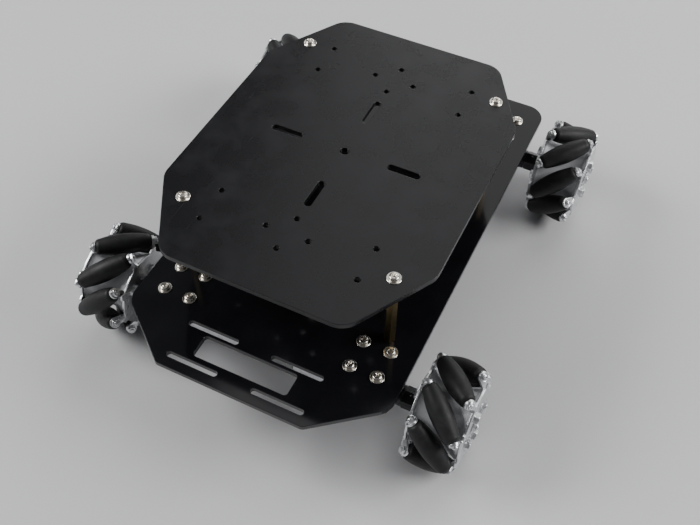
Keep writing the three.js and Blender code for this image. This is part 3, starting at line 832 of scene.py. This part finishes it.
def ear_mesh():
    """One ear: a teardrop tab square to the roller's axis, and the rolled fold that joins it to its arm."""
    narrow_low, narrow_high = 18.6, 22.3
    around = arc(0, ROLLER_AXIS_R, EAR_R, math.radians(-62), math.radians(188), math.radians(8))
    outline = [(EAR_FOLD, narrow_high), (EAR_FOLD, narrow_low), (-2.2, narrow_low - 0.3), *around]
    tab = panel("ear", outline, [circle(0, ROLLER_AXIS_R, 1.35)], SHEET, edge=0.16)
    tab.transform(LEAN @ shift(EAR_SEAT - SHEET / 2, 0, 0) @ STAND)
    fold = turned("fold", [
        (narrow_low, 0), (narrow_low, 0.5), (narrow_low + 0.2, 0.72),
        (narrow_high - 0.1, 0.72), (narrow_high + 0.1, 0.5), (narrow_high + 0.1, 0)], 24)
    at = LEAN @ Vector((EAR_SEAT, EAR_FOLD, 0))
    fold.transform(shift(at.x, at.y, 0) @ UPRIGHT)
    return merged("ear", [(tab, AS_MADE), (fold, AS_MADE)])


def side_plate_mesh(name):
    """The outer stamping: a disc with eight arms and folded ears, and a centre hole."""
    arm_inner, arm_outer, arm_top, valley = (PLATE_ARM[key] for key in ("inner", "outer", "top", "valley"))
    rim_angles = [math.radians(degrees) for degrees in (-12, -6, 0, 6)]
    rim = [(math.sin(a) * PLATE_DISC_R, math.cos(a) * PLATE_DISC_R) for a in rim_angles]
    arm = [(arm_inner - 0.7, valley + 0.9), (arm_inner, arm_top - 0.8), (arm_inner + 0.6, arm_top),
           (arm_outer, arm_top), (arm_outer, valley - 0.4)]
    outline = []
    for i in range(ROLLER_COUNT):
        turn = -2 * math.pi * i / ROLLER_COUNT
        outline += [(x * math.cos(turn) - y * math.sin(turn), x * math.sin(turn) + y * math.cos(turn))
                    for x, y in rim + arm]
    sheet = panel(name, outline, [circle(0, 0, PLATE_HOLE_R)], SHEET, edge=0.18)
    sheet.transform(shift(WHEEL_HALF - SHEET, 0, 0) @ STAND)
    ear = ear_mesh()
    ears = [(ear, spin(2 * math.pi * i / ROLLER_COUNT)) for i in range(ROLLER_COUNT)]
    return merged(name, [(sheet, AS_MADE), *ears])


def drum_mesh():
    """The hub drum: a concave waist between two rims that stand slightly proud."""
    end = WHEEL_HALF - SHEET
    waist, flare = DRUM["waist"], DRUM["flare"]
    curve = [(t / 12 * (end - 1.2), waist + flare * (t / 12) ** 2) for t in range(-12, 13)]
    rim = waist + flare
    proud = rim + 0.3
    return turned("hub_drum", [
        (-end, 0), (-end, 5.6), (-end, rim), (-end + 0.3, proud), (-end + 0.9, proud), *curve,
        (end - 0.9, proud), (end - 0.3, proud), (end, rim), (end, 0)], 120)


def centre_cap_mesh():
    """The washer and cross-head screw that hold the wheel on its coupling."""
    inside, top = WHEEL_HALF - 1.4, WHEEL_HALF + 0.8
    washer = turned("centre_washer", [
        (inside, 0), (inside, 5), (WHEEL_HALF, 6.6), (WHEEL_HALF + 0.6, 6.6), (top, 6.4), (top, 0)], 64)
    screw = pan_screw_mesh("centre_screw", 1, head_r=3.6, height=1.7)
    screw.transform(UPRIGHT.inverted())
    return merged("centre_cap", [(washer, AS_MADE), (screw, shift(top, 0, 0))])


def bolts_mesh():
    """Four through bolts: hex heads on the outer side, nuts on the inner one."""
    head = hex_nut_mesh("bolt_head", 2.5, stud=0.9)
    nut = hex_nut_mesh("bolt_nut", 2.4, proud=0.0)
    placed = []
    for i in range(WHEEL_BOLTS["count"]):
        around = spin((i + 0.25) * 2 * math.pi / WHEEL_BOLTS["count"]) @ shift(0, 0, WHEEL_BOLTS["radius"])
        placed.append((head, around @ shift(WHEEL_HALF, 0, 0) @ spin(0.3 + i)))
        placed.append((nut, around @ shift(-WHEEL_HALF, 0, 0) @ HALF_TURN @ spin(0.7 * i)))
    return merged("wheel_bolts", placed)


def pins_mesh():
    """Eight roller pins: a cross-head screw in one ear and a nut on the other."""
    ear_face = EAR_SEAT + SHEET / 2
    screw = pan_screw_mesh("pin_screw", 2 * ear_face, head_r=2.35, height=1.6)
    screw.transform(UPRIGHT.inverted())
    nut = hex_nut_mesh("pin_nut", 1.7, radius=2.3, stud=1.15, proud=0.5)
    placed = []
    for i in range(ROLLER_COUNT):
        axis = spin(2 * math.pi * i / ROLLER_COUNT) @ shift(0, 0, ROLLER_AXIS_R) @ LEAN
        placed.append((screw, axis @ shift(ear_face, 0, 0) @ spin(0.8 * i)))
        placed.append((nut, axis @ shift(-ear_face, 0, 0) @ HALF_TURN @ spin(0.5 * i)))
    return merged("roller_pins", placed)


def wheel_matrix(corner):
    """From a wheel's own frame to the robot's at rest, in metres."""
    hub = Vector(JOINTS[f"wheel_{corner}_spin"]["pos_m"])
    spoke = (Vector(JOINTS[f"roller_{corner}_1_spin"]["pos_m"]) - hub).normalized()
    outward = Vector((math.copysign(1, hub.x), 0, 0))
    across = spoke.cross(outward)
    return Matrix.Translation(hub) @ Matrix((outward, across, spoke)).transposed().to_4x4()


def wheel_hand(corner, matrix):
    """1 where the rollers lean one way, -1 where they lean the other."""
    axis = matrix.to_3x3().inverted() @ Vector(JOINTS[f"roller_{corner}_1_spin"]["axis"])
    return 1 if axis.x * axis.y > 0 else -1


def wheels():
    outer = side_plate_mesh("side_plate")
    plates = {1: outer, -1: merged("side_plate_mirrored", [(outer, MIRROR)])}
    pins = pins_mesh()
    pin_sets = {1: pins, -1: merged("roller_pins_mirrored", [(pins, MIRROR)])}
    drum, cap, bolts = drum_mesh(), centre_cap_mesh(), bolts_mesh()
    tread, bush = roller_mesh(), bush_mesh()
    for corner in CORNERS:
        body = f"wheel_{corner}"
        matrix = wheel_matrix(corner)
        hand = wheel_hand(corner, matrix)
        place(f"hub_drum_{corner}", drum, "satin_aluminium", body, matrix, [f"wheel_frame_{corner}"])
        place(f"side_plate_outer_{corner}", plates[hand], "plated_steel", body, matrix)
        place(f"side_plate_inner_{corner}", plates[hand], "plated_steel", body, matrix @ HALF_TURN)
        place(f"wheel_bolts_{corner}", bolts, "plated_steel", body, matrix)
        place(f"centre_cap_{corner}", cap, "plated_steel", body, matrix)
        place(f"roller_pins_{corner}", pin_sets[hand], "plated_steel", body, matrix)
        for i in range(ROLLER_COUNT):
            spoke = spin(2 * math.pi * i / ROLLER_COUNT) @ shift(0, 0, ROLLER_AXIS_R)
            own = matrix @ in_metres(spoke @ Matrix.Rotation(hand * math.pi / 4, 4, "Z"))
            rides = f"roller_{corner}_{i + 1}"
            place(f"roller_tread_{corner}_{i + 1}", tread, "roller_rubber", rides, own, [rides])
            place(f"roller_bush_{corner}_{i + 1}", bush, "black_plastic", rides, own)


# ---------------------------------------------------------------- stage

CAMERA = {"place": (0.1458, -0.3063, 0.4263), "azimuth": 25.21, "elevation": 51.37, "roll": 1.0,
          "lens": 45.77}
FLOOR_COLOUR = (0.62, 0.62, 0.63, 1)
SKY_COLOUR = (0.80, 0.82, 0.85, 1)
SKY_STRENGTH = 0.14
LIGHT_AIM = (0, 0, 0.05)
# Each softbox's place and size in metres, and its watts.
SOFTBOXES = {
    "key": ((-1.1, -0.4, 1.0), (0.8, 0.6), 20),
    "side": ((1.2, 0.4, 0.9), (0.9, 0.6), 20),
    "rim": ((0.0, 1.5, 0.55), (1.4, 0.4), 8),
    "sky": ((-0.05, 0.9, 1.2), (1.1, 1.1), 3.4),
}


def camera():
    azimuth, elevation, roll = (math.radians(CAMERA[key]) for key in ("azimuth", "elevation", "roll"))
    level = math.cos(elevation)
    back = Vector((math.sin(azimuth) * level, -math.cos(azimuth) * level, math.sin(elevation)))
    right = Vector((math.cos(azimuth), math.sin(azimuth), 0))
    up = back.cross(right)
    across = math.cos(roll) * right + math.sin(roll) * up
    above = math.cos(roll) * up - math.sin(roll) * right
    data = bpy.data.cameras.new("camera")
    data.sensor_width = 36
    data.lens = CAMERA["lens"]
    data.clip_start = 0.01
    obj = bpy.data.objects.new("camera", data)
    bpy.context.scene.collection.objects.link(obj)
    turn = Matrix((across, above, back)).transposed().to_4x4()
    obj.matrix_world = Matrix.Translation(CAMERA["place"]) @ turn
    bpy.context.scene.camera = obj


def softbox(name, spot, size, watts):
    data = bpy.data.lights.new(name, "AREA")
    data.shape = "RECTANGLE"
    data.size, data.size_y = size
    data.energy = watts
    obj = bpy.data.objects.new(name, data)
    bpy.context.scene.collection.objects.link(obj)
    direction = Vector(LIGHT_AIM) - Vector(spot)
    obj.matrix_world = Matrix.Translation(spot) @ direction.to_track_quat("-Z", "Y").to_matrix().to_4x4()


def stage():
    material = bpy.data.materials.new("pale_floor")
    material.use_nodes = True
    shader = material.node_tree.nodes["Principled BSDF"]
    shader.inputs["Base Color"].default_value = FLOOR_COLOUR
    shader.inputs["Roughness"].default_value = 0.7
    bm = bmesh.new()
    bmesh.ops.create_grid(bm, x_segments=8, y_segments=8, size=4)
    mesh = from_bmesh("floor", bm)
    mesh.materials.append(material)
    floor = bpy.data.objects.new("floor", mesh)
    bpy.context.scene.collection.objects.link(floor)
    world = bpy.data.worlds.new("studio")
    world.use_nodes = True
    world.node_tree.nodes["Background"].inputs["Color"].default_value = SKY_COLOUR
    world.node_tree.nodes["Background"].inputs["Strength"].default_value = SKY_STRENGTH
    bpy.context.scene.world = world
    for name, (spot, size, watts) in SOFTBOXES.items():
        softbox(name, spot, size, watts)


camera()
stage()
deck()
lower_plate()
fasteners()
standoffs()
drives()
wheels()
